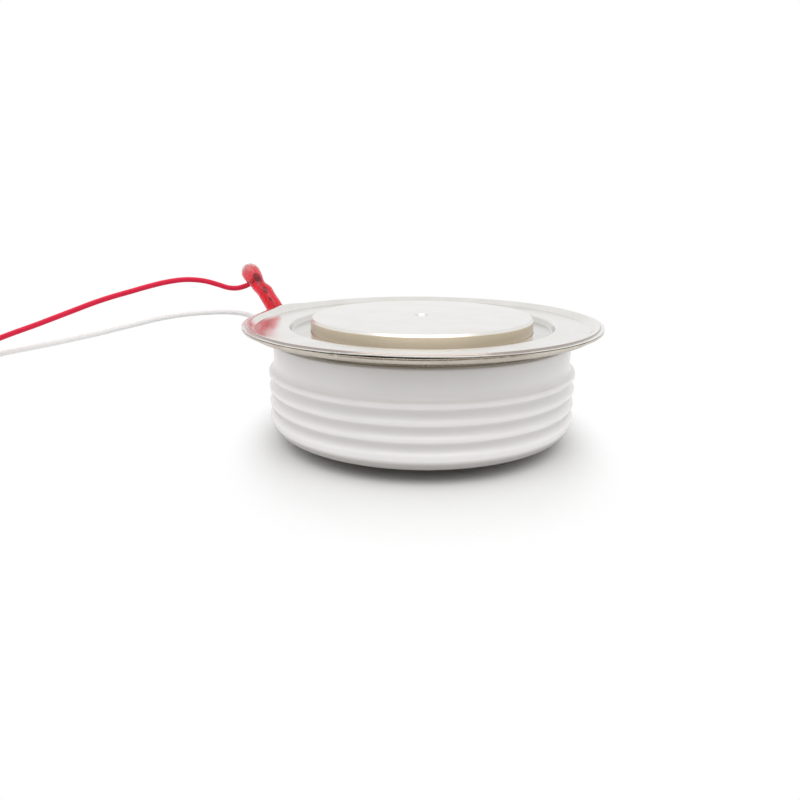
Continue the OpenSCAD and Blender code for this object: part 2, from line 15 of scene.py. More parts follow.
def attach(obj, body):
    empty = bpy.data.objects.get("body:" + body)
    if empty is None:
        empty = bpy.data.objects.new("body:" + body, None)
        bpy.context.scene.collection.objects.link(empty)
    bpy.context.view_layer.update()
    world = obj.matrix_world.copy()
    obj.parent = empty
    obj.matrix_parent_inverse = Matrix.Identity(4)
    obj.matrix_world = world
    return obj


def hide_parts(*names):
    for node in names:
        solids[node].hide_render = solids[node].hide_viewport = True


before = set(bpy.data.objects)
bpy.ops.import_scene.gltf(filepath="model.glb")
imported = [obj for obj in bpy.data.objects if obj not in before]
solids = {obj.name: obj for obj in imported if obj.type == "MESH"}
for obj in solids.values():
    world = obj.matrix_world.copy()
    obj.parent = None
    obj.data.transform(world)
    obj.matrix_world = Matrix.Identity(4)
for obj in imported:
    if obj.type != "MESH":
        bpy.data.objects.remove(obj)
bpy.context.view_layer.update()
scene = bpy.context.scene
scene.view_settings.view_transform = "Standard"

# %% [markdown]
# The camera stands low in front of the part and looks down at it by 16 degrees, from less than two
# diameters away, so the near rim looks much wider than the far one. The place and the lens could be tuned
# by eye. Here they come from the sizes of the rim, the pole and the ceramic in the picture.

# %% Camera
camera = bpy.data.objects.new("camera", bpy.data.cameras.new("camera"))
scene.collection.objects.link(camera)
camera.data.sensor_width = 36
camera.data.lens = 29.61
camera.data.clip_start = 0.001
camera.matrix_world = (
    Matrix.Translation((-0.00456, -0.13983, 0.0475))
    @ Matrix.Rotation(math.radians(90 - 16.119), 4, "X")
    @ Matrix.Rotation(math.radians(0.138), 4, "Z")
)
scene.camera = camera
print("camera at", [round(v, 4) for v in camera.matrix_world.translation])

# %% [markdown]
# Every new piece is a grid of points. A grid has rows and columns, and its faces join each point to its
# neighbours, so one formula for the points and one for the faces make any sheet, tube or turned part.
# Blender's own primitives would do for some of them, but a grid keeps the formula in sight.

# %% From a grid to a piece of the part
def grid_faces(rows, columns, closed_rows=False, closed_columns=False):
    """Four-sided faces of a grid of points counted row by row: each joins a point to the next one in its
    row and to the same two in the next row. A closed direction joins its last point to its first."""
    row_count = rows if closed_rows else rows - 1
    column_count = columns if closed_columns else columns - 1
    i, j = np.meshgrid(np.arange(row_count), np.arange(column_count), indexing="ij")
    below = (i + 1) % rows
    beside = (j + 1) % columns
    corners = [i * columns + j, below * columns + j, below * columns + beside, i * columns + beside]
    return np.stack(corners, axis=-1).reshape(-1, 4)


def make_piece(name, points, faces, finish, slot, replaced=(), marks=None):
    """A mesh of these points, in millimetres, that rides on the part and stands for the solids it
    replaces. marks gives named values, one for each point, that a finish can read."""
    mesh = bpy.data.meshes.new(name)
    metres = np.reshape(points, (-1, 3)) * 0.001
    mesh.from_pydata(metres.tolist(), [], [list(map(int, face)) for face in faces])
    mesh.polygons.foreach_set("use_smooth", np.ones(len(mesh.polygons), dtype=bool))
    mesh.materials.append(finish)
    for mark, values in (marks or {}).items():
        numbers = np.ravel(values).astype(np.float32)
        mesh.attributes.new(mark, "FLOAT", "POINT").data.foreach_set("value", numbers)
    mesh.update()
    piece = bpy.data.objects.new(name, mesh)
    scene.collection.objects.link(piece)
    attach(piece, "root")
    if replaced:
        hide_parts(*replaced)
    print(name, "points", len(mesh.vertices), "faces", len(mesh.polygons))
    return piece


# %% Helpers for shapes
UP = np.array([0.0, 0.0, 1.0])


def unit(vectors):
    """These vectors at length 1."""
    return vectors / np.linalg.norm(vectors, axis=-1, keepdims=True)


def round_angles(count):
    """Angles evenly spaced all the way round."""
    return np.linspace(0, 2 * np.pi, count, endpoint=False)


def bell(value, middle, width):
    """A bell curve, 1 where the value is at the middle."""
    return np.exp(-(((value - middle) / width) ** 2))


def eased(share):
    """A smooth step: a share kept between 0 and 1 that starts and ends gently."""
    kept = np.clip(share, 0, 1)
    return kept**2 * (3 - 2 * kept)


# %% [markdown]
# A finish is a small network of nodes. The helpers below keep each network short to write: one adds a
# node and fills its sockets, one starts a material from its Principled shader, and the others make nodes
# that come up often. Values that are the same all over the surface go straight onto the shader's sockets,
# and only what varies is wired.

# %% Helpers for finishes
def add_node(tree, kind, sockets=None, **settings):
    """A shader node of this kind, with its settings, its socket values and its incoming wires."""
    made = tree.nodes.new("ShaderNode" + kind)
    for key, value in settings.items():
        setattr(made, key, value)
    for key, value in (sockets or {}).items():
        if isinstance(value, bpy.types.NodeSocket):
            tree.links.new(value, made.inputs[key])
        else:
            made.inputs[key].default_value = value
    return made


def start_finish(name, **sockets):
    """A material with a Principled shader and these sockets set; underscores stand for spaces."""
    material = bpy.data.materials.new(name)
    material.use_nodes = True
    shader = material.node_tree.nodes["Principled BSDF"]
    for key, value in sockets.items():
        shader.inputs[key.replace("_", " ")].default_value = value
    return material, material.node_tree, shader


def feed(shader, **sockets):
    """Wires these values into the shader's sockets."""
    for key, value in sockets.items():
        shader.id_data.links.new(value, shader.inputs[key.replace("_", " ")])


def shades(tree, value, *stops):
    """A colour ramp over a value, from (position, grey or colour) stops."""
    ramp = add_node(tree, "ValToRGB", {"Fac": value})
    while len(ramp.color_ramp.elements) < len(stops):
        ramp.color_ramp.elements.new(1.0)
    for element, (position, shade) in zip(ramp.color_ramp.elements, stops):
        element.position = position
        element.color = (*shade, 1) if isinstance(shade, tuple) else (shade, shade, shade, 1)
    return ramp.outputs["Color"]


def speckle(tree, scale, detail=3.0, stretch=(1, 1, 1)):
    """Noise over the part's own millimetres, scale spots to each; stretch squeezes it along an axis."""
    place = add_node(tree, "TexCoord").outputs["Object"]
    scaled = add_node(tree, "Mapping", {"Vector": place, "Scale": [1000 * s for s in stretch]}).outputs[0]
    return add_node(tree, "TexNoise", {"Vector": scaled, "Scale": scale, "Detail": detail}).outputs["Fac"]


def bumps(tree, shader, height, strength, depth):
    """Small relief on the shader from a height between 0 and 1; depth is its size in millimetres."""
    relief = add_node(tree, "Bump", {"Height": height, "Strength": strength, "Distance": depth * 0.001})
    feed(shader, Normal=relief.outputs["Normal"])


def blend(tree, share, first, second, data_type="RGBA", **settings):
    """The first colour where share is 0, the second where it is 1, and a mixture between. data_type can
    make them plain values, and settings can change how they mix."""
    sockets = {"Factor": share, "A": first, "B": second}
    return add_node(tree, "Mix", sockets, data_type=data_type, **settings).outputs["Result"]


def span(tree, value, low, high, curve="LINEAR"):
    """How far a value has come from low to high, as a share from 0 to 1."""
    sockets = {"Value": value, "From Min": low, "From Max": high}
    return add_node(tree, "MapRange", sockets, interpolation_type=curve).outputs["Result"]


def maths(tree, operation, *values):
    """The result of one arithmetic operation on these values."""
    return add_node(tree, "Math", dict(enumerate(values)), operation=operation).outputs["Value"]


def distance(tree, factors):
    """The distance from the frame's origin, with each axis multiplied by its factor."""
    place = add_node(tree, "TexCoord").outputs["Object"]
    scaled = add_node(tree, "VectorMath", {0: place, 1: factors}, operation="MULTIPLY").outputs[0]
    return add_node(tree, "VectorMath", {0: scaled}, operation="LENGTH").outputs["Value"]


# %% [markdown]
# The leads are thin stranded wires in soft plastic, one red and one white. The plastic is a little glossy
# and never quite even: it was drawn through a die and handled since. A slow noise shifts its colour by a
# few per cent, and a slower one moves its gloss.

# %% Plastic of the two leads
def lead_plastic(name, pale, deep, gloss):
    """Soft plastic between two shades, with a gloss that wanders a little about the one given."""
    material, tree, shader = start_finish(name, Specular_IOR_Level=0.2)
    patches = speckle(tree, 0.2, 2.0)
    feed(shader, Base_Color=shades(tree, patches, (0.2, deep), (0.8, pale)))
    slow = speckle(tree, 0.1, 1.0)
    feed(shader, Roughness=shades(tree, slow, (0.2, gloss - 0.03), (0.8, gloss + 0.05)))
    return material


red_plastic = lead_plastic("red_plastic", (0.76, 0.016, 0.065), (0.68, 0.012, 0.05), 0.42)
white_plastic = lead_plastic("white_plastic", (0.84, 0.84, 0.835), (0.82, 0.82, 0.815), 0.45)
print("lead plastics:", red_plastic.name, white_plastic.name)

# %% [markdown]
# A lead leaves its sleeve, crosses in a shallow arch and comes down to the table, where its spare length
# is wound into a small coil of two layers. A curve object with a bevel would draw it, but the turns of
# the coil are easier to state as a formula, so the lead is one smooth line of points and the wire is a
# round tube carried along that line.

# %% Lines of the leads
LEAD_R, LEAD_SIDES = 0.6, 20
COIL_R = 6.5
TURNS_PER_LAYER = 2.4
ON_TABLE = 0.95
LIFT_TURN, LIFT_SLOPE = 41, 70


def length_of(line):
    """The length of a line of points: the sum of the distances from each to the next."""
    return float(np.linalg.norm(np.diff(line, axis=0), axis=1).sum())


def smooth_line(corners, step):
    """A curve through the corners: between two of them a cubic whose slope at each is that of the chord
    between its two neighbours, sampled about every step."""
    p = np.asarray(corners, dtype=float)
    chord = np.linalg.norm(np.diff(p, axis=0), axis=1)
    s = np.concatenate([[0], np.cumsum(chord)])
    slope = np.gradient(p, s, axis=0)
    t = np.linspace(0, s[-1], int(s[-1] / step) + 1)
    k = np.clip(np.searchsorted(s, t, side="right") - 1, 0, len(chord) - 1)
    h = chord[k][:, None]
    u = ((t - s[k]) / chord[k])[:, None]
    start = (1 + 2 * u) * (1 - u) ** 2 * p[k] + u * (1 - u) ** 2 * h * slope[k]
    return start + u**2 * (3 - 2 * u) * p[k + 1] + u**2 * (u - 1) * h * slope[k + 1]


def coil_line(centre, start_degrees, turn):
    """A flat spiral of turns a wire's width apart, inwards on the table and then outwards on top of
    itself; the last stretch rises over the outer turn to the bared tip. turn is +1 counter-clockwise and
    -1 clockwise."""
    wire = 2 * LEAD_R
    half = 360 * TURNS_PER_LAYER
    a = np.concatenate([np.arange(0, 2 * half, 12), np.linspace(2 * half, 2 * half + LIFT_TURN, 8)])
    outer = COIL_R + wire * TURNS_PER_LAYER / 2
    inwards = np.abs(a - half) / 360 * wire + outer - wire * TURNS_PER_LAYER
    level = ON_TABLE + wire * eased((a - half) / 60 + 0.5)
    lift = np.radians(np.clip((a - 2 * half) / LIFT_TURN, 0, 1) * LIFT_SLOPE)
    radius = np.where(a > 2 * half, outer - wire * (1 - np.cos(lift)), inwards)
    angle = np.radians(start_degrees + turn * a)
    level = level + wire * np.sin(lift)
    return np.stack([centre[0] + radius * np.cos(angle), centre[1] + radius * np.sin(angle), level], axis=1)


RED_ROUTE = [
    (-40.1, 20.9, 31), (-40.9, 21.3, 30.3), (-42.6, 21.8, 29.5), (-44.4, 21.5, 29.1), (-46.2, 20.8, 29.3),
    (-48.2, 19.8, 30.1), (-51, 18.5, 31.1), (-55, 16.9, 31.6), (-59, 15.5, 31.2), (-63, 14.4, 30.3),
    (-67, 13.3, 29.2), (-71, 12.2, 28.1), (-75, 11, 26.8), (-79, 10, 25.3), (-83, 8.9, 23.8),
    (-87, 7.8, 22.3), (-91, 6.8, 20.9), (-94, 6, 19.8), (-98, 4.8, 18), (-102, 3.4, 15.8),
    (-106, 1.9, 12.9), (-110, 0.3, 9.4), (-113.5, -1.3, 5.9), (-117, -3.2, 2.9), (-120, -5, 1.4),
    (-123, -6.8, 0.95),
]
WHITE_ROUTE = [
    (-33, 17.2, 19.3), (-35, 18.2, 19.3), (-36.9, 19.1, 20.1), (-38.9, 19.8, 21.4), (-41.2, 20.2, 22.6),
    (-44, 20.1, 23.3), (-47, 19.5, 23.6), (-51, 18.6, 23.6), (-55, 17.7, 23.4), (-59, 16.7, 23),
    (-63, 15.7, 22.3), (-67, 14.6, 21.4), (-71, 13.5, 20.5), (-75, 12.4, 19.6), (-79, 11.3, 18.8),
    (-83, 10.3, 18), (-87, 9.2, 17.3), (-91, 8.1, 16.6), (-95, 7, 15.9), (-99, 6.1, 14.9),
    (-103, 5.3, 13.4), (-107, 4.6, 11.2), (-110.5, 4.2, 8.6), (-114, 4, 5.6), (-117.5, 4, 3),
    (-120.5, 4.3, 1.5), (-123.5, 5, 0.95),
]
RED_COIL_AT, WHITE_COIL_AT = (-122.6, -16.1), (-125.3, 14.2)
red_line = smooth_line(np.vstack([RED_ROUTE, coil_line(RED_COIL_AT, 124, 1)]), 0.5)
white_line = smooth_line(np.vstack([WHITE_ROUTE, coil_line(WHITE_COIL_AT, -110, -1)]), 0.5)
print("millimetres of lead:", [round(length_of(line), 1) for line in (red_line, white_line)])

# %% Wires carried along their lines
def carry_round(line, radius, sides):
    """A tube: at each point of the line a circle square to it, spanned by the level direction across the
    line and the direction square to both."""
    along = unit(np.gradient(line, axis=0))
    across = unit(np.cross(along, UP))
    square = np.cross(along, across)
    a = round_angles(sides)[None, :, None]
    return line[:, None] + radius * (np.cos(a) * across[:, None] + np.sin(a) * square[:, None])


def capped_tube(rings, sides):
    """Faces of a tube of rings, with a flat cap on each end."""
    body = grid_faces(rings, sides, closed_columns=True)[:, ::-1].tolist()
    last = (rings - 1) * sides
    return body + [list(range(sides - 1, -1, -1)), list(range(last, last + sides))]


def tube_along(line, radius, sides):
    """The points and faces of a closed tube carried along a line."""
    return carry_round(line, radius, sides), capped_tube(len(line), sides)


red_tube = tube_along(red_line, LEAD_R, LEAD_SIDES)
red_wire = make_piece("red_wire", *red_tube, red_plastic, "red_wire", ("red_lead", "red_coil"))
white_tube = tube_along(white_line, LEAD_R, LEAD_SIDES)
white_wire = make_piece("white_wire", *white_tube, white_plastic, "white_wire", ("white_lead", "white_coil"))

# %% [markdown]
# Each coil is held by a slim nylon tie: a strap, pulled through a small lock. A strap is a flat section
# carried round a closed path, and here the path is a rectangle with round corners about the coil's own
# section. The bared end of the wire is a bundle of tinned strands, and each strand is a thin tube carried
# along a helix.

# %% Finishes of the ties and bared ends
def plain_finish(name, pale, deep, gloss, metal, scale, relief):
    """Two shades mixed by noise, with the gloss and a fine relief from a finer noise."""
    material, tree, shader = start_finish(name, Metallic=metal)
    feed(shader, Base_Color=shades(tree, speckle(tree, scale, 4.0), (0.3, deep), (0.7, pale)))
    fine = speckle(tree, scale * 8, 3.0)
    feed(shader, Roughness=shades(tree, fine, (0.3, gloss - 0.05), (0.7, gloss + 0.08)))
    bumps(tree, shader, fine, 0.3, relief)
    return material


black_nylon = plain_finish("black_nylon", (0.035, 0.035, 0.036), (0.02, 0.02, 0.021), 0.42, 0.0, 0.6, 0.01)
tinned_copper = plain_finish("tinned_copper", (0.72, 0.70, 0.66), (0.58, 0.56, 0.52), 0.3, 1.0, 0.9, 0.01)
print("finishes:", black_nylon.name, tinned_copper.name)

# %% Ties and bared ends
COIL_MIDDLE = 1.55
STRAP_HALF_W, STRAP_HALF_T = 1.1, 0.15
BARED_LEVEL, BARED_LENGTH = 3.15, 6.0


def filled(wave):
    """A sine or cosine pushed out towards the corners: its sign times its size to the power of 0.35."""
    return np.sign(wave) * np.abs(wave) ** 0.35


def joined(parts):
    """Pairs of points and faces as one pair, each part's faces counted on from the part before."""
    points, faces, count = [], [], 0
    for part_points, part_faces in parts:
        flat = np.reshape(part_points, (-1, 3))
        faces += [[int(k) + count for k in face] for face in part_faces]
        points.append(flat)
        count += len(flat)
    return np.vstack(points), faces


def soft_block(centre, axes, halves, rows=15, columns=28):
    """A block with round edges: each half length times filled sines and cosines, as on a globe."""
    up = np.linspace(-np.pi / 2 + 0.03, np.pi / 2 - 0.03, rows)
    u, v = np.meshgrid(up, round_angles(columns), indexing="ij")
    level = filled(np.cos(u))
    reach = [level * filled(np.cos(v)), level * filled(np.sin(v)), filled(np.sin(u))]
    grid = centre + sum(h * r[..., None] * axis for h, r, axis in zip(halves, reach, axes))
    return grid, capped_tube(rows, columns)


def coil_frame(centre, azimuth):
    """The point on a coil's middle turn at this azimuth, and the directions outwards and around."""
    a = math.radians(azimuth)
    outwards = np.array([math.cos(a), math.sin(a), 0.0])
    around = np.array([-math.sin(a), math.cos(a), 0.0])
    return np.array([*centre, 0.0]) + COIL_R * outwards, outwards, around


def tie_round(centre, azimuth, path_steps=64, section_steps=12):
    """A strap: a flat filled ring carried round a filled rectangle about the coil's section; its lock."""
    middle, outwards, around = coil_frame(centre, azimuth)
    t = round_angles(path_steps)[:, None]
    half_r = LEAD_R * (TURNS_PER_LAYER + 1) + 0.2
    half_z = 2 * LEAD_R + 0.17
    path = middle + half_r * filled(np.cos(t)) * outwards + (COIL_MIDDLE + half_z * filled(np.sin(t))) * UP
    along = unit(np.roll(path, -1, axis=0) - np.roll(path, 1, axis=0))
    normal = np.cross(along, around)
    b = round_angles(section_steps)[None, :, None]
    strap = path[:, None] + STRAP_HALF_W * filled(np.cos(b)) * around
    strap = strap + STRAP_HALF_T * filled(np.sin(b)) * normal[:, None]
    strap_faces = grid_faces(path_steps, section_steps, closed_rows=True, closed_columns=True)[:, ::-1]
    lock_at = middle + (COIL_MIDDLE + half_z + 0.55) * UP - 0.6 * outwards
    lock = soft_block(lock_at, (outwards, around, UP), (1.0, 1.5, 0.6))
    return joined([(strap, strap_faces), lock])


def bared_end(centre, azimuth, strands=6):
    """Strands laid round a middle one: each is a helix of one turn in 5 mm, a tube carried along it."""
    middle, outwards, around = coil_frame(centre, azimuth)
    s = np.linspace(-BARED_LENGTH / 2, BARED_LENGTH / 2, 41)[:, None]
    core = middle + BARED_LEVEL * UP + s * around
    parts = [tube_along(core, 0.13, 8)]
    for k in range(strands):
        angle = 2 * np.pi * (k / strands + s / 5.0)
        helix = core + 0.22 * (np.cos(angle) * outwards + np.sin(angle) * UP)
        parts.append(tube_along(helix, 0.12, 8))
    return joined(parts)


red_tie = make_piece("red_tie_strap", *tie_round(RED_COIL_AT, 300), black_nylon, "tie", ("red_tie",))
white_tie = make_piece("white_tie_strap", *tie_round(WHITE_COIL_AT, 60), black_nylon, "tie", ("white_tie",))
red_tip = make_piece(
    "red_tip_strands", *bared_end(RED_COIL_AT, 118), tinned_copper, "tinned_copper", ("red_tip",)
)
white_tip = make_piece(
    "white_tip_strands", *bared_end(WHITE_COIL_AT, 256), tinned_copper, "tinned_copper", ("white_tip",)
)


print("leads declared:", red_wire.name, white_wire.name)

# %% [markdown]
# The poles and the flanges are nickel on copper and on thin sheet. Nickel is a warm silver: its colour
# leans to yellow, and it is satin rather than a mirror, because the sheet under it was rolled and the
# poles were turned and then lapped. A plain metal shader looks like plastic film, so slow stains change
# the colour and the gloss, and faint rings of the turning tool break the reflections. The pole's wall was
# only turned and is duller, and its warmer tint is partly painted reflection of the warm room in front.
# On the rim's ledge, on the sheet below the rim's slope and in the seam, painted shade darkens the nickel.

# %% Nickel on the pole's wall and on the rim
FROM_AXIS = (1000, 1000, 0)
SEAM_R, SEAM_HEIGHT = 36.4, 24.8
LEDGE_R, LEDGE_HALF_W = 36.72, 0.11
SLOPE_HIGH, SLOPE_LOW = 24.28, 23.9


def turned_wall(tree, radius, colour, sheen, edge, wall_colour, wall_gloss):
    """The colour and sheen, changed beyond the edge to those of a duller wall with fine level lines; its
    warm colour is partly painted reflection.
    """
    lines = speckle(tree, 1.0, 4.0, (0.05, 0.05, 7))
    warm = shades(tree, lines, (0.3, tuple(0.95 * c for c in wall_colour)), (0.7, wall_colour))
    matt = shades(tree, lines, (0.3, wall_gloss - 0.02), (0.7, wall_gloss + 0.02))
    colour = blend(tree, span(tree, radius, edge - 0.08, edge - 0.01), colour, warm)
    return colour, blend(tree, span(tree, radius, edge - 0.6, edge - 0.4), sheen, matt)


def rim_painted_shade(tree, radius, colour):
    """The colour with painted shade: darker on the rim's ledge and below the slope, and dark close to the
    seam's height.
    """
    place = add_node(tree, "TexCoord").outputs["Object"]
    height = maths(tree, "MULTIPLY", add_node(tree, "SeparateXYZ", {"Vector": place}).outputs["Z"], 1000)
    # Painted shade: a dark line on the ledge, a dimmer sheet below the rim's slope, and a dark seam.
    ledge = maths(tree, "COMPARE", radius, LEDGE_R, LEDGE_HALF_W)
    colour = blend(tree, maths(tree, "MULTIPLY", ledge, 0.85), colour, (0.36, 0.30, 0.27, 1))
    sunk = span(tree, height, SLOPE_HIGH, SLOPE_LOW)
    colour = blend(tree, maths(tree, "MULTIPLY", sunk, 0.3), colour, (0.34, 0.325, 0.30, 1))
    off = maths(tree, "ABSOLUTE", maths(tree, "SUBTRACT", height, SEAM_HEIGHT))
    close = span(tree, off, 0.09, 0.03)
    beyond = span(tree, radius, SEAM_R, SEAM_R + 0.3)
    return blend(tree, maths(tree, "MULTIPLY", close, beyond), colour, (0.09, 0.07, 0.055, 1))


# %% Nickel
def nickel(name, gloss, rings, stain, tint, wall=None, rim=False):
    """Satin nickel; rings is the strength of the turning marks, stain how far the tarnish darkens it. A
    wall, if given, is (radius, colour, gloss) of a turned wall; rim adds painted shade on and below the
    welded rim."""
    material, tree, shader = start_finish(name, Metallic=1.0)
    radius = distance(tree, FROM_AXIS)
    dull = tuple(c * (1 - stain) for c in (tint[0], tint[1] * 0.985, tint[2] * 0.95))
    colour = shades(tree, speckle(tree, 0.16, 5.0), (0.36, dull), (0.62, tint))
    sheen = shades(tree, speckle(tree, 0.9, 6.0), (0.3, gloss - 0.03), (0.72, gloss + 0.05))
    if wall:
        colour, sheen = turned_wall(tree, radius, colour, sheen, *wall)
    if rim:
        colour = rim_painted_shade(tree, radius, colour)
    feed(shader, Base_Color=colour, Roughness=sheen)
    along_radius = {"W": radius, "Scale": 9.0, "Detail": 4.0}
    turning = add_node(tree, "TexNoise", along_radius, noise_dimensions="1D").outputs["Fac"]
    both = blend(tree, rings, speckle(tree, 6.0, 3.0), turning, "FLOAT")
    bumps(tree, shader, both, 0.4, 0.0008)
    return material


SILVER = (0.79, 0.782, 0.766)
# The pole's wall gets a warm tint: partly painted reflection of the warm room in front of it.
pole_nickel = nickel("pole_nickel", 0.12, 0.7, 0.03, SILVER, (23.5, (0.75, 0.65, 0.51), 0.3))
# Both sheets take painted shade on and below the rim; the weld ring is also darker all over.
sheet_nickel = nickel("sheet_nickel", 0.19, 0.25, 0.04, SILVER, rim=True)
weld_nickel = nickel("weld_nickel", 0.24, 0.15, 0.2, (0.68, 0.63, 0.56), rim=True)
# The lower pole and the lower flange are painted dark: painted shade for the gap under the ceramic.
foot_nickel_painted_shade = nickel("foot_nickel_painted_shade", 0.34, 0.5, 0.3, (0.30, 0.275, 0.235))
print("nickel finishes:", pole_nickel.name, sheet_nickel.name, weld_nickel.name, foot_nickel_painted_shade.name)

# %% [markdown]
# Both poles, both flanges and the ceramic are turned shapes: an outline spun about the axis. Blender has
# a Screw modifier and a Spin tool for that. Spinning the outline with one array product gives the same
# surface, and leaves room to bend it afterwards. Real parts have no knife edges, so each corner of an
# outline is first rounded.

# %% Outlines and turning
def rounded(corners, radii, steps=5):
    """A closed outline with its corners rounded: each corner becomes a circular arc, written as the
    rational curve that starts on one edge, is pulled towards the corner by the sine of half its angle,
    and ends on the other edge. An arc takes at most 45 per cent of an edge. One more point just before
    and after it keeps the flats flat."""
    p = np.asarray(corners, dtype=float)
    r = np.broadcast_to(np.asarray(radii, dtype=float), len(p))
    back = np.roll(p, 1, axis=0) - p
    ahead = np.roll(p, -1, axis=0) - p
    back_l = np.linalg.norm(back, axis=1)
    ahead_l = np.linalg.norm(ahead, axis=1)
    back = back / back_l[:, None]
    ahead = ahead / ahead_l[:, None]
    half = np.arccos(np.clip((back * ahead).sum(axis=1), -0.999999, 0.999999)) / 2
    reach = np.minimum(r / np.tan(half), 0.45 * np.minimum(back_l, ahead_l))[:, None]
    u = np.linspace(0, 1, steps)[None, :, None]
    pull = np.sin(half)[:, None, None]
    start = (p + back * reach)[:, None]
    end = (p + ahead * reach)[:, None]
    weight = (1 - u) ** 2 + 2 * u * (1 - u) * pull + u**2
    bend = ((1 - u) ** 2 * start + 2 * u * (1 - u) * pull * p[:, None] + u**2 * end) / weight
    before = start + np.minimum(0.1, 0.04 * back_l)[:, None, None] * back[:, None]
    after = end + np.minimum(0.1, 0.04 * ahead_l)[:, None, None] * ahead[:, None]
    return np.concatenate([before, bend, after], axis=1).reshape(-1, 2)


def finer(outline, step, closed=True):
    """The same outline with points added along its longer edges, so that none is longer than step."""
    p = np.asarray(outline, dtype=float)
    q = np.vstack([p, p[:1]]) if closed else p
    length = np.linalg.norm(np.diff(q, axis=0), axis=1)
    parts = np.maximum(1, np.ceil(length / step)).astype(int)
    first = np.repeat(np.arange(len(length)), parts)
    share = (np.arange(len(first)) - np.repeat(np.cumsum(parts) - parts, parts)) / parts[first]
    line = q[first] + share[:, None] * (q[first + 1] - q[first])
    return line if closed else np.vstack([line, q[-1:]])


def turned(outline, sides):
    """The outline spun about the axis: x and y are the radius times cosine and sine, z is kept."""
    a = round_angles(sides)[:, None]
    r = outline[None, :, 0]
    z = np.broadcast_to(outline[None, :, 1], (sides, len(outline)))
    return np.stack([r * np.cos(a), r * np.sin(a), z], axis=-1)


def turned_ring(name, outline, sides, finish, slot, replaced, shape=None, marks=None):
    """A closed outline turned into a ring; shape may move the points of the grid before the mesh is made,
    and marks gives named values for the points of the outline."""
    grid = turned(outline, sides)
    if shape is not None:
        grid = shape(grid)
    faces = grid_faces(sides, len(outline), closed_rows=True, closed_columns=True)
    all_round = {mark: np.tile(values, sides) for mark, values in (marks or {}).items()}
    return make_piece(name, grid, faces, finish, slot, replaced, all_round)


# %% [markdown]
# The upper flange is a thin pressed sheet, like a shallow dish: a moat round the pole, a flat ring, and a
# rim raised by a short slope, with a small ledge near its edge. The press leaves round bends and a sheet
# that is never dead flat, so the turned shape gets a slow wave of a few hundredths of a millimetre,
# strongest on the flat ring.

# %% Upper flange
RIM_SIDES, OUTLINE_STEP = 640, 0.6
TAB_DEGREES = 151
RIM_DENTS = (
    (245.6, 0.10, 0.5), (283.5, 0.07, 0.6), (288.0, 0.09, 0.4), (291.0, 0.06, 0.5), (201.0, 0.08, 0.6),
)


def pressed(grid, lift):
    """Slow waves on a sheet, as sums of sines of the angle faded in from the moat to the rim. At the rim
    the sheet is lifted by a gap that changes along the seam, and each dent takes a bell-shaped bite from
    the edge. Over the tab it swells, as a bell curve of the angle times a smooth step of the radius."""
    angle = np.arctan2(grid[..., 1], grid[..., 0])
    radius = np.hypot(grid[..., 0], grid[..., 1])
    fade = np.clip((radius - 26) / 6, 0, 1)
    wave = 0.018 * np.sin(3 * angle + 0.7) + 0.012 * np.sin(7 * angle + 2.1)
    wave = wave + 0.006 * np.sin(17 * angle + 0.3)
    seam = 0.02 + 0.11 * bell(angle, -1.74, 0.3)
    seam = seam + 0.008 * np.sin(23 * angle) + 0.007 * np.sin(41 * angle)
    edge = np.clip((radius - 36.3) / 1.1, 0, 1) ** 2
    degrees = np.degrees(angle)[..., None] % 360
    dents = np.array(RIM_DENTS)
    bite = (dents[:, 1] * bell(degrees, dents[:, 0], dents[:, 2])).sum(axis=-1)
    over_tab = 0.42 * eased((radius - 34.7) / 2.0) * bell(degrees[..., 0], TAB_DEGREES, 8.5)
    inwards = 1 - bite * np.clip(radius - 36.5, 0, 1) / np.maximum(radius, 1)
    moved = grid.copy()
    moved[..., 2] += fade * wave + lift * edge * seam + over_tab
    moved[..., :2] *= inwards[..., None]
    return moved


CATHODE_FLANGE = [
    (23.55, 22.7), (27.678, 22.7), (28.278, 23.9), (34.95, 23.9), (35.8, 24.8), (37.5, 24.8), (37.5, 25.0),
    (36.78, 25.02), (36.62, 25.3), (35.95, 25.3), (34.85, 24.35), (28.0, 24.35), (27.4, 23.15),
    (23.55, 23.15),
]
CATHODE_BENDS = [0.05, 0.7, 0.3, 0.55, 0.3, 0.06, 0.08, 0.1, 0.12, 0.5, 0.45, 0.4, 0.35, 0.05]
cathode_flange = turned_ring(
    "cathode_flange_sheet", finer(rounded(CATHODE_FLANGE, CATHODE_BENDS), OUTLINE_STEP), RIM_SIDES,
    sheet_nickel, "nickel", ("cathode_flange",), lambda grid: pressed(grid, 1.0),
)

# %% [markdown]
# The weld ring is the second sheet. It stands on the ceramic, turns outwards under the flange and meets
# it at the rim, where a press squeezed the two together until they joined cold. From the side the rim
# therefore shows two thin layers with a seam between them, darkened by painted shade.

# %% Weld ring
WELD_RING = [
    (28.3, 21.5), (29.8, 21.5), (29.8, 23.3), (35.78, 23.3), (36.24, 24.35), (37.5, 24.35), (37.5, 24.8),
    (35.95, 24.8), (35.49, 23.75), (29.35, 23.75), (29.35, 21.95), (28.3, 21.95),
]
WELD_BENDS = [0.05, 0.1, 0.5, 0.55, 0.3, 0.1, 0.06, 0.3, 0.3, 0.3, 0.3, 0.05]
weld_ring = turned_ring(
    "weld_ring_sheet", finer(rounded(WELD_RING, WELD_BENDS), OUTLINE_STEP), RIM_SIDES,
    weld_nickel, "nickel", ("weld_ring",), lambda grid: pressed(grid, -1.0),
)

# %% [markdown]
# Each pole is a block of copper turned on a lathe and plated: a round contact face with a chamfered edge,
# a small hole in its middle that a pin of the clamp finds, and a shoulder that carries the flange. Its
# outline starts on the axis at the bottom of the hole and ends on the axis of the inner face, and a small
# cap closes each end.

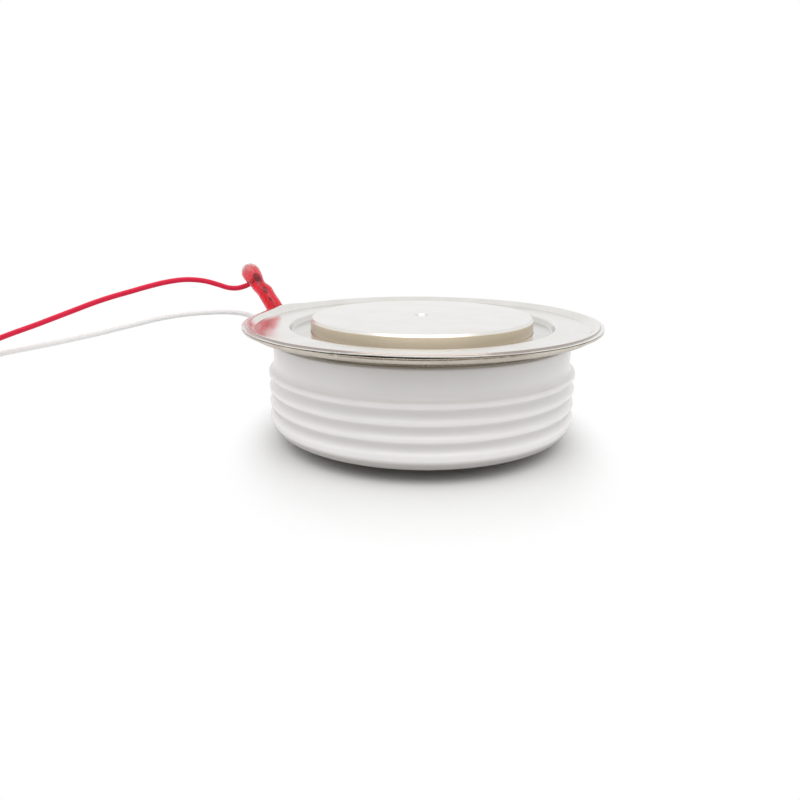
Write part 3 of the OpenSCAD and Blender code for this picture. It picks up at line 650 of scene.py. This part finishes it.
# %% Poles
def turned_block(name, outline, sides, finish, slot, replaced):
    """An outline that starts and ends near the axis, turned into a solid block with a cap at each end."""
    count = len(outline)
    faces = grid_faces(sides, count, closed_rows=True).tolist()
    first = list(range(0, sides * count, count))
    last = [i + count - 1 for i in first]
    caps = [first[::-1], last]
    return make_piece(name, turned(outline, sides), faces + caps, finish, slot, replaced)


def open_rounded(corners, radii, step):
    """An open outline with its inner corners rounded and its long edges divided."""
    p = np.asarray(corners, dtype=float)
    soft = rounded(p, radii).reshape(len(p), -1, 2)
    line = np.vstack([p[:1], soft[1:-1].reshape(-1, 2), p[-1:]])
    return finer(line, step, closed=False)


POLE_SIDES = 256
POLE_TOP = [
    (0.03, 14), (24.0, 14), (24.5, 14.5), (24.5, 22.7), (23.5, 22.7), (23.5, 25.45), (23.1, 26.0),
    (1.68, 26.0), (1.4, 25.55), (1.4, 23.5), (0.03, 22.68),
]
top_line = open_rounded(POLE_TOP, [0, 0.2, 0.2, 0.1, 0.1, 0.2, 0.15, 0.06, 0.06, 0.1, 0], 0.8)
cathode_pole = turned_block(
    "cathode_pole_block", top_line, POLE_SIDES, pole_nickel, "nickel", ("cathode_pole",)
)
POLE_FOOT = [
    (0.03, 3.32), (1.4, 2.5), (1.4, 0.35), (1.75, 0), (22.95, 0), (23.5, 0.64), (23.5, 2.8), (24.5, 2.8),
    (24.5, 9.5), (24.0, 10), (0.03, 10),
]
foot_line = open_rounded(POLE_FOOT, [0, 0.1, 0.06, 0.06, 0.3, 0.3, 0.1, 0.1, 0.2, 0.2, 0], 0.8)
anode_pole = turned_block("anode_pole_block", foot_line, POLE_SIDES, foot_nickel_painted_shade, "nickel", ("anode_pole",))

# %% [markdown]
# The ring between the flanges is alumina, a white ceramic, with a clear glaze outside. Its ribs make the
# path for creeping currents longer. Each rib is an arc, and each groove is an arc that touches its two
# ribs, so the outline is a chain of arcs that meet without a corner; below, the ring rounds in to its
# narrow foot. The grooves are painted greyer, as painted shade. The glaze ends above the foot, where the
# ceramic is left unglazed and painted darker, partly its own tone and partly painted shade. Two values on
# each point say how far each goes, and the finish mixes its shades by them.

# %% Glazed alumina
def glazed_alumina():
    """White with slow clouds, greyer in the grooves as painted shade, and darker on the unglazed foot,
    partly painted shade.
    """
    material, tree, shader = start_finish("glazed_alumina", IOR=1.5, Roughness=0.22)
    clouds = speckle(tree, 0.12, 2.0)
    colour = shades(tree, clouds, (0.0, (0.82, 0.804, 0.795)), (1.0, (0.885, 0.87, 0.86)))
    # Painted shade: greyer in the grooves, and darker on the unglazed foot, partly its own tone.
    for mark, shade in (("groove", (0.68, 0.664, 0.652, 1)), ("bare", (0.46, 0.44, 0.42, 1))):
        share = add_node(tree, "Attribute", attribute_name=mark).outputs["Fac"]
        colour = blend(tree, share, colour, shade)
    feed(shader, Base_Color=colour)
    return material


alumina = glazed_alumina()
print("finish of the ceramic:", alumina.name)

# %% Ceramic ring
CREST_R, NECK_R, FOOT_R, BORE_R = 32.55, 31.35, 29.9, 27.5
CREST_ROUND, GROOVE_DEPTH, NECK_FILLET = 0.8, 0.65, 1.5
CERAMIC_LOW, CERAMIC_HIGH, NECK_LOW, CREST_LOW, RIBS = 2.8, 21.5, 17.1, 5.9, 4
GLAZE_LOW, GLAZE_FADE, CERAMIC_SIDES = 5.2, 0.9, 288


def arc(centre, radius, start, end, steps=10):
    """Points of a circular arc between two angles in degrees."""
    a = np.radians(np.linspace(start, end, steps))
    return np.stack([centre[0] + radius * np.cos(a), centre[1] + radius * np.sin(a)], axis=1)


def ceramic_outline():
    """The foot as a quarter ellipse, ribs and grooves as touching arcs, the neck's fillet, the bore."""
    neck_flank = math.degrees(math.acos(1 - (CREST_R - NECK_R) / (CREST_ROUND + NECK_FILLET)))
    crest_high = NECK_LOW - (CREST_ROUND + NECK_FILLET) * math.sin(math.radians(neck_flank))
    pitch = (crest_high - CREST_LOW) / (RIBS - 1)
    arcs = (GROOVE_DEPTH**2 + (pitch / 2) ** 2) / (2 * GROOVE_DEPTH)
    flank = math.degrees(math.asin(pitch / 2 / arcs))
    groove = arcs - CREST_ROUND
    lean = np.radians(np.linspace(0, 90, 16))[:-1]
    foot_r = FOOT_R + (CREST_R - FOOT_R) * np.sin(lean)
    line = [np.stack([foot_r, CREST_LOW - (CREST_LOW - CERAMIC_LOW) * np.cos(lean)], axis=1)]
    for rib in range(RIBS):
        z = CREST_LOW + rib * pitch
        crest = (CREST_R - CREST_ROUND, z)
        over = flank if rib < RIBS - 1 else neck_flank
        line.append(arc(crest, CREST_ROUND, -flank if rib else 0, over)[:-1])
        if rib < RIBS - 1:
            middle = (CREST_R - GROOVE_DEPTH + groove, z + pitch / 2)
            line.append(arc(middle, groove, 180 + flank, 180 - flank)[:-1])
    line.append(arc((NECK_R + NECK_FILLET, NECK_LOW), NECK_FILLET, 180 + neck_flank, 180))
    line.append(arc((NECK_R - 0.3, CERAMIC_HIGH - 0.3), 0.3, 0, 90, 6))
    line.append(np.array([[BORE_R + 0.1, CERAMIC_HIGH], [BORE_R, CERAMIC_HIGH - 0.1]]))
    line.append(np.array([[BORE_R, CERAMIC_LOW + 0.1], [BORE_R + 0.1, CERAMIC_LOW]]))
    return np.vstack(line)


def glaze_and_shade_marks(outline):
    """Two shares of painted shade for each point: how deep it lies in a groove, as a part of the groove's
    depth, and how far it is below the edge of the glaze, as a part of the glaze's fade; the unglazed foot
    is partly its own tone."""
    r, z = outline.T
    on_ribs = (z > CREST_LOW) & (z < NECK_LOW - 2) & (r > NECK_R)
    groove = np.where(on_ribs, np.clip((CREST_R - r) / GROOVE_DEPTH, 0, 1), 0)
    return {"groove": groove, "bare": np.clip((GLAZE_LOW - z) / GLAZE_FADE, 0, 1)}


ceramic_line = finer(ceramic_outline(), OUTLINE_STEP)
ceramic = turned_ring(
    "ceramic_ring_glazed", ceramic_line, CERAMIC_SIDES, alumina, "alumina", ("ceramic_ring",),
    marks=glaze_and_shade_marks(ceramic_line),
)

# %% [markdown]
# The lower flange is a plain thin ring with one bead pressed into it, so that the seal can give a little
# when the clamp closes. It hides under the ceramic, and its outline follows the bead with two arcs.

# %% Lower flange
LOWER_SIDES, FLANGE_BEAD = 192, (26.0, 2.35)
bead_inner = arc(FLANGE_BEAD, 0.5, 180, 0, 12)
bead_outer = arc(FLANGE_BEAD, 0.95, 28.3, 151.7, 12)
lower_edge = [(29.4, 2.35), (29.5, 2.45), (29.5, 2.7), (29.4, 2.8)]
lower_outline = np.vstack([[(23.55, 2.35)], bead_inner, lower_edge, bead_outer, [(23.55, 2.8)]])
lower_line = finer(lower_outline, OUTLINE_STEP)
anode_flange = turned_ring(
    "anode_flange_sheet", lower_line, LOWER_SIDES, foot_nickel_painted_shade, "nickel", ("anode_flange",)
)

# %% [markdown]
# The small tab at the rim and the lead's solder joint are covered by a short sleeve of clear red plastic,
# shrunk on by heat: it follows the tab, swells a little where the solder is, narrows again and is pinched
# shut round at its end. A modelled tube with a lattice would do. Here its radius is a formula of the
# height along the tab and of the angle round it; the inner skin is the outer one moved in by the wall.

# %% Clear red plastic
def sleeve_plastic():
    """Clear red, paler towards the closed end, darker along its two edges seen from the front as painted
    shade, with soft wrinkles.
    """
    material, tree, shader = start_finish("sleeve_plastic", IOR=1.42, Transmission_Weight=0.9)
    height = add_node(tree, "Attribute", attribute_name="height").outputs["Fac"]
    cloud = speckle(tree, 0.5, 1.0)
    share = span(tree, maths(tree, "MULTIPLY_ADD", cloud, 3.0, height), 1.5, 15.0)
    body = shades(
        tree, share, (0.0, (0.96, 0.075, 0.13)), (0.6, (0.96, 0.085, 0.15)), (0.8, (0.93, 0.24, 0.28)),
        (1.0, (0.86, 0.52, 0.52)),
    )
    # Painted shade along the sleeve's two edges as seen from the front.
    edge_shade = add_node(tree, "Attribute", attribute_name="edge_shade").outputs["Fac"]
    feed(shader, Base_Color=blend(tree, edge_shade, body, (0.38, 0.012, 0.035, 1)))
    wrinkles = speckle(tree, 0.8, 0.0, (1, 1, 0.4))
    feed(shader, Roughness=shades(tree, wrinkles, (0.0, 0.09), (1.0, 0.15)))
    bumps(tree, shader, wrinkles, 0.2, 0.02)
    return material


clear_red = sleeve_plastic()
print("finish of the sleeve:", clear_red.name)

# %% Red sleeve
AZIMUTH, LEAN = math.radians(152.5), math.radians(36)
OUT = np.array([math.cos(AZIMUTH), math.sin(AZIMUTH), 0.0])
SIDE = np.array([-math.sin(AZIMUTH), math.cos(AZIMUTH), 0.0])
TAB_ALONG = math.sin(LEAN) * OUT + math.cos(LEAN) * UP
TAB_FACE = math.cos(LEAN) * OUT - math.sin(LEAN) * UP
TAB_FOOT = 38.45 * OUT + 24.15 * UP
SLEEVE_LOW, SLEEVE_HIGH, SLEEVE_R, SLEEVE_DOME, SLEEVE_WALL = 0.6, 13.6, 1.746, 2.2, 0.35
DOME_LOW = SLEEVE_HIGH - SLEEVE_DOME


def sleeve_skin(height, angle):
    """Points at each height along the tab and angle round it. The radius swells by bell curves at the
    tab's middle and at the lobe over the joint, with a waist between them, and closes as a dome. At the
    waist the line of centres steps outwards, as a smooth step, because the wire pulls the sleeve to its
    side."""
    swell = 1.07 + 0.02 * bell(height, 1.5, 2.0) - 0.13 * bell(height, 7.9, 1.3)
    swell = swell + 0.21 * bell(height, 11.2, 1.9)
    dome = np.clip((height - DOME_LOW) / SLEEVE_DOME, 0, 1)
    close = np.sqrt(np.maximum(1 - dome**2, 0.0004))
    ripple = 1 + 0.018 * np.sin(2 * angle + 0.9 * height) + 0.01 * np.sin(3 * angle - 1.7 * height)
    reach = SLEEVE_R * swell * close * ripple
    aside = 0.1 + 0.68 * eased((height - 5.4) / 2.6)
    return (
        TAB_FOOT
        + height[..., None] * TAB_ALONG
        + (reach * np.cos(angle) + aside)[..., None] * TAB_FACE
        + (reach * np.sin(angle))[..., None] * SIDE
    )


def outer_direction(height, angle):
    """Unit vectors out of the skin: round the tab on its straight length, and over its dome."""
    dome = np.clip((height - DOME_LOW) / SLEEVE_DOME, 0, 1)[..., None]
    round_it = np.cos(angle)[..., None] * TAB_FACE + np.sin(angle)[..., None] * SIDE
    return np.sqrt(1 - dome**2) * round_it + dome * TAB_ALONG


def red_sleeve_grid(sides=64):
    """Outer skin upwards and inner skin back down, as rows of one grid, with the height of each point,
    and how close it is to one of the sleeve's two edges as seen from the front, for painted shade there:
    a bell curve of the angle from that edge."""
    straight = np.linspace(SLEEVE_LOW, DOME_LOW, 48)
    top = DOME_LOW + SLEEVE_DOME * np.sin(np.linspace(0, np.pi / 2, 18))[1:]
    h, a = np.meshgrid(np.concatenate([straight, top]), round_angles(sides), indexing="ij")
    outer = sleeve_skin(h, a)
    inner = outer - SLEEVE_WALL * outer_direction(h, a)
    # Painted shade: a dark band along each of the two edges of the sleeve seen from the front.
    from_shaded_edge = np.angle(np.exp(2j * (a - np.radians(33)))) / 2
    edge_shade = 0.85 * bell(from_shaded_edge, 0, 0.2) * np.clip((SLEEVE_HIGH - 2.4 - h) / 2.5, 0.25, 1)
    skins = np.concatenate([outer, inner[::-1]])
    return skins, np.concatenate([h, h[::-1]]), np.concatenate([edge_shade, 0 * edge_shade])


sleeve_grid, sleeve_heights, sleeve_edge_shades = red_sleeve_grid()
sleeve_faces = grid_faces(*sleeve_grid.shape[:2], closed_rows=True, closed_columns=True)[:, ::-1]
red_sleeve = make_piece(
    "red_sleeve_skin", sleeve_grid, sleeve_faces, clear_red, "red_sleeving", ("red_sleeve",),
    {"height": sleeve_heights, "edge_shade": sleeve_edge_shades},
)

# %% [markdown]
# Inside the sleeve stands the tab, a strip of sheet that was welded under the rim and bent up. It could
# be a plane with a Solidify modifier. Carrying a rounded section along its bent centre line gives the
# same strip with soft edges.

# %% Tab
TAB_HALF_W, TAB_HALF_T, TAB_END, TAB_RAISE = 1.2, 0.2, 10.6, 0.38


def tab_strip():
    """A section carried along a line: the line runs out under the rim, turns up by a quadratic curve and
    ends at the tab's tip; the section is a flat filled ring, narrowing to the tip as a quarter of an
    ellipse."""
    bend = TAB_FOOT + TAB_RAISE / math.cos(LEAN) * TAB_ALONG
    u = np.linspace(0, 1, 9)[:, None]
    root = bend - (2.4 - 1.8 * u) * OUT
    turn = (1 - u) ** 2 * (bend - 0.6 * OUT) + 2 * u * (1 - u) * bend + u**2 * (bend + 0.6 * TAB_ALONG)
    rise = np.linspace(TAB_RAISE / math.cos(LEAN) + 0.6, TAB_END, 30)[:, None]
    line = np.vstack([root[:-1], turn, (TAB_FOOT + rise * TAB_ALONG)[1:]])
    face = np.cross(unit(np.gradient(line, axis=0)), SIDE)
    a = round_angles(32)
    wide = filled(np.cos(a))
    thick = filled(np.sin(a))
    to_tip = np.clip(((line - TAB_FOOT) @ TAB_ALONG - (TAB_END - 0.7)) / 0.7, 0, 0.97)
    narrow = np.sqrt(1 - to_tip**2)[:, None, None]
    across = (TAB_HALF_W * wide)[None, :, None] * SIDE * narrow
    return line[:, None] + across + (TAB_HALF_T * thick)[None, :, None] * face[:, None]


tinned_strip = plain_finish("tinned_strip", (0.88, 0.86, 0.84), (0.80, 0.78, 0.76), 0.45, 0.3, 0.9, 0.006)
tab_grid = tab_strip()
tab_faces = capped_tube(*tab_grid.shape[:2])
cathode_tab = make_piece("cathode_tab_strip", tab_grid, tab_faces, tinned_strip, "nickel", ("cathode_tab",))

# %% [markdown]
# Through the clear sleeve the joint shows as dark spots: a bead of solder where the wire's end comes
# through the tab, and two weld spots below it. Each is a small dome on the tab's inner face, a quarter of
# a circle's outline flattened and turned about the line through the face.

# %% Beads on the tab
def dull_solder():
    """Grey metal gone dull, in two dark shades mixed by noise, with a rough surface."""
    material, tree, shader = start_finish(
        "dull_solder", Metallic=0.2, Roughness=0.8, Specular_IOR_Level=0.2
    )
    patches = speckle(tree, 1.5, 4.0)
    feed(shader, Base_Color=shades(tree, patches, (0.3, (0.10, 0.07, 0.06)), (0.7, (0.22, 0.18, 0.16))))
    bumps(tree, shader, patches, 0.4, 0.05)
    return material


BEAD_RINGS, BEAD_SIDES = 10, 24


def bead_on_tab(height, across, radius, rise):
    """A dome at this height along the tab and this far across it: rings of radius r cos(t), lifted by
    rise sin(t)."""
    rings = np.linspace(0, np.pi / 2 - 0.02, BEAD_RINGS)
    t, a = np.meshgrid(rings, round_angles(BEAD_SIDES), indexing="ij")
    ring = radius * np.cos(t)
    return (
        TAB_FOOT
        + (height + ring * np.cos(a))[..., None] * TAB_ALONG
        + (across + ring * np.sin(a))[..., None] * SIDE
        - (TAB_HALF_T + rise * np.sin(t))[..., None] * TAB_FACE
    )


solder_grey = dull_solder()
BEADS = ((9.2, 0.15, 1.3, 0.35), (5.7, -0.05, 0.85, 0.3), (3.2, 0.1, 0.5, 0.2))
one_bead = capped_tube(BEAD_RINGS, BEAD_SIDES)
beads = joined([(bead_on_tab(*bead), one_bead) for bead in BEADS])
solder_beads = make_piece("solder_beads", *beads, solder_grey, "tinned_copper")

# %% [markdown]
# The gate tube comes out of the ceramic behind the rim, under the red sleeve. A short white sleeve covers
# its joint to the white lead and tapers from the tube to the wire. It is an outline turned about the tube
# instead of the axis.

# %% Gate sleeve
GATE_LEVEL, GATE_SIDES = 19.3, 64


def about_gate_tube(grid):
    """The turned grid laid down: its axis becomes the line of the gate tube, its heights the distance
    from the part's axis."""
    return grid[..., 2:3] * OUT + grid[..., 0:1] * SIDE + grid[..., 1:2] * UP + GATE_LEVEL * UP


GATE_SLEEVE = [
    (1.55, 31.95), (1.9, 31.95), (1.9, 36.35), (1.0, 37.25), (1.0, 39.05), (0.65, 39.05), (0.65, 37.25),
    (1.55, 36.35),
]
gate_outline = finer(rounded(GATE_SLEEVE, [0.1, 0.12, 1.2, 1.0, 0.12, 0.1, 0.6, 0.6]), 0.4)
gate_sleeve = turned_ring(
    "gate_sleeve_skin", gate_outline, GATE_SIDES, white_plastic, "white_sleeving", ("gate_sleeve",),
    about_gate_tube,
)

# %% [markdown]
# The pieces inside keep their solids, because plain discs, rings and pins are what they are. Their
# finishes still differ: grey molybdenum, dark polished silicon, warm white insulators, gilt on the gate
# pin and tin on the leads.

# %% Finishes of the inner pieces
molybdenum = plain_finish("molybdenum", (0.42, 0.43, 0.45), (0.34, 0.35, 0.37), 0.4, 1.0, 0.3, 0.01)
silicon = plain_finish("silicon", (0.20, 0.21, 0.25), (0.14, 0.15, 0.19), 0.15, 0.8, 0.2, 0.002)
insulator = plain_finish("insulator", (0.80, 0.77, 0.68), (0.72, 0.68, 0.58), 0.45, 0.0, 0.3, 0.02)
gilt = plain_finish("gilt", (0.85, 0.62, 0.26), (0.74, 0.52, 0.20), 0.2, 1.0, 0.5, 0.005)
spring_steel = plain_finish("spring_steel", (0.50, 0.50, 0.51), (0.40, 0.40, 0.41), 0.28, 1.0, 0.6, 0.005)
FINISH_OF = {
    "anode_disc": molybdenum, "cathode_disc": molybdenum, "silicon_wafer": silicon,
    "centring_ring": insulator, "gate_cup": insulator, "inner_sleeving": insulator, "gate_pin": gilt,
    "gate_spring": spring_steel, "inner_gate_lead": tinned_copper, "gate_tube": sheet_nickel,
    "solder_joint": tinned_copper, "red_lead_core": tinned_copper,
}
for solid_name, finish in FINISH_OF.items():
    solid_mesh = solids[solid_name].data
    solid_mesh.materials.clear()
    solid_mesh.materials.append(finish)
print("solids with a finish:", len(FINISH_OF))

# %% [markdown]
# The picture is a plain catalogue view: a pale table, soft light from all round, and a background that
# runs out into white. The table is a flat sheet. Near the part it is ordinary matt white and takes the
# shadow; beyond an oval round the part, camera rays see it fade to plain white, so that its far edge
# never shows. The oval reaches less far to the sides, so there this white also paints light over the
# part's shadow and cuts it short.

# %% Table
# At the part's sides the oval is close, so the plain white paints light over its shadow there.
OVAL = (1.25, 0.78, 1.0)
FADE_FROM, FADE_TO = 0.0365, 0.052


def table_finish():
    """Matt white; beyond an oval about the axis, camera rays see plain white instead."""
    material, tree, shader = start_finish("table_white", Roughness=0.9, Specular_IOR_Level=0.0)
    feed(shader, Base_Color=shades(tree, speckle(tree, 2.0, 2.0), (0.3, 0.805), (0.7, 0.82)))
    straight = add_node(tree, "LightPath").outputs["Is Camera Ray"]
    far = span(tree, distance(tree, OVAL), FADE_FROM, FADE_TO, "SMOOTHSTEP")
    seen = maths(tree, "MULTIPLY", straight, far)
    white = add_node(tree, "Emission", {"Color": (1, 1, 1, 1), "Strength": 1.0}).outputs["Emission"]
    both = add_node(tree, "MixShader", {0: seen, 1: shader.outputs["BSDF"], 2: white}).outputs["Shader"]
    tree.links.new(both, tree.nodes["Material Output"].inputs["Surface"])
    return material


table_mesh = bpy.data.meshes.new("table_sheet")
table_x, table_y = np.meshgrid(np.linspace(-1.2, 1.2, 9), np.linspace(-0.1, 1.2, 9), indexing="ij")
table_points = np.stack([table_x, table_y, np.zeros_like(table_x)], axis=-1).reshape(-1, 3)
table_mesh.from_pydata(table_points.tolist(), [], grid_faces(9, 9).tolist())
table_mesh.materials.append(table_finish())
table_sheet = bpy.data.objects.new("table_sheet", table_mesh)
scene.collection.objects.link(table_sheet)
print("table faces:", len(table_mesh.polygons))

# %% [markdown]
# Light comes from a white surround, as in a light tent, and from one wide lamp above the front. The
# surround is dim near the table and bright above and at the sides, so that shadows gather under the part.
# Metal shows what it faces, so it gets a surround of its own: the side where the camera stands is warmer
# and darker below, and that, with a warm tint painted on the wall as painted reflection, gives the pole's
# wall its olive tone. Camera rays see plain white.

# %% Surround
def smooth(tree, value, low, high):
    """A share from 0 to 1 that starts and ends gently."""
    return span(tree, value, low, high, "SMOOTHSTEP")


def mirrored_room(tree, back, up):
    """What metal mirrors: white behind, and towards the camera a room, warm and darker below."""
    room = shades(
        tree, smooth(tree, up, -0.3, 0.6), (0.0, (0.20, 0.16, 0.12)), (0.28, (0.44, 0.39, 0.33)),
        (0.38, (0.85, 0.79, 0.69)), (0.68, (0.87, 0.83, 0.75)), (0.9, (0.95, 0.95, 0.94)),
    )
    return blend(tree, smooth(tree, back, 0.1, -0.35), (0.98, 0.98, 0.98, 1), room)


def soft_sky(tree, right, back, up):
    """What lights the rest: dim near the table, bright above and high in front, stronger at the sides."""
    dome = shades(tree, smooth(tree, up, 0.0, 0.75), (0.0, 0.12), (1.0, 0.82))
    high_front = maths(tree, "MULTIPLY", smooth(tree, back, 0.1, -0.45), smooth(tree, up, 0.35, 0.65))
    soft = blend(tree, high_front, dome, (0.86, 0.86, 0.86, 1))
    sides = shades(tree, smooth(tree, right, -1.0, 1.0), (0.0, 2.1), (0.5, 0.76), (1.0, 2.1))
    return blend(tree, 1.0, soft, sides, blend_type="MULTIPLY")


def light_tent():
    """A world that looks different to each kind of ray: the sky, the mirrored room, or plain white."""
    world = bpy.data.worlds.new("light_tent")
    world.use_nodes = True
    tree = world.node_tree
    tree.nodes.clear()
    towards = add_node(tree, "TexCoord").outputs["Generated"]
    axes = add_node(tree, "SeparateXYZ", {"Vector": towards})
    right, back, up = axes.outputs["X"], axes.outputs["Y"], axes.outputs["Z"]
    colours = (soft_sky(tree, right, back, up), mirrored_room(tree, back, up), (1, 1, 1, 1))
    sky, room, plain = (
        add_node(tree, "Background", {"Color": colour, "Strength": 1.0}).outputs["Background"]
        for colour in colours
    )
    rays = add_node(tree, "LightPath").outputs
    lit = add_node(tree, "MixShader", {0: rays["Is Glossy Ray"], 1: sky, 2: room}).outputs["Shader"]
    straight = maths(tree, "MAXIMUM", rays["Is Camera Ray"], rays["Is Transmission Ray"])
    both = add_node(tree, "MixShader", {0: straight, 1: lit, 2: plain}).outputs["Shader"]
    add_node(tree, "OutputWorld", {"Surface": both})
    return world


scene.world = light_tent()
print("world:", scene.world.name)

# %% Lamp
lamp = bpy.data.objects.new("soft_box", bpy.data.lights.new("soft_box", "AREA"))
lamp.data.shape = "RECTANGLE"
lamp.data.size, lamp.data.size_y = 0.7, 0.36
lamp.data.energy = 1.0
lamp.matrix_world = Matrix.Translation((0.0, -0.28, 0.5)) @ Matrix.Rotation(math.radians(28), 4, "X")
scene.collection.objects.link(lamp)
print("lamp watts:", lamp.data.energy)
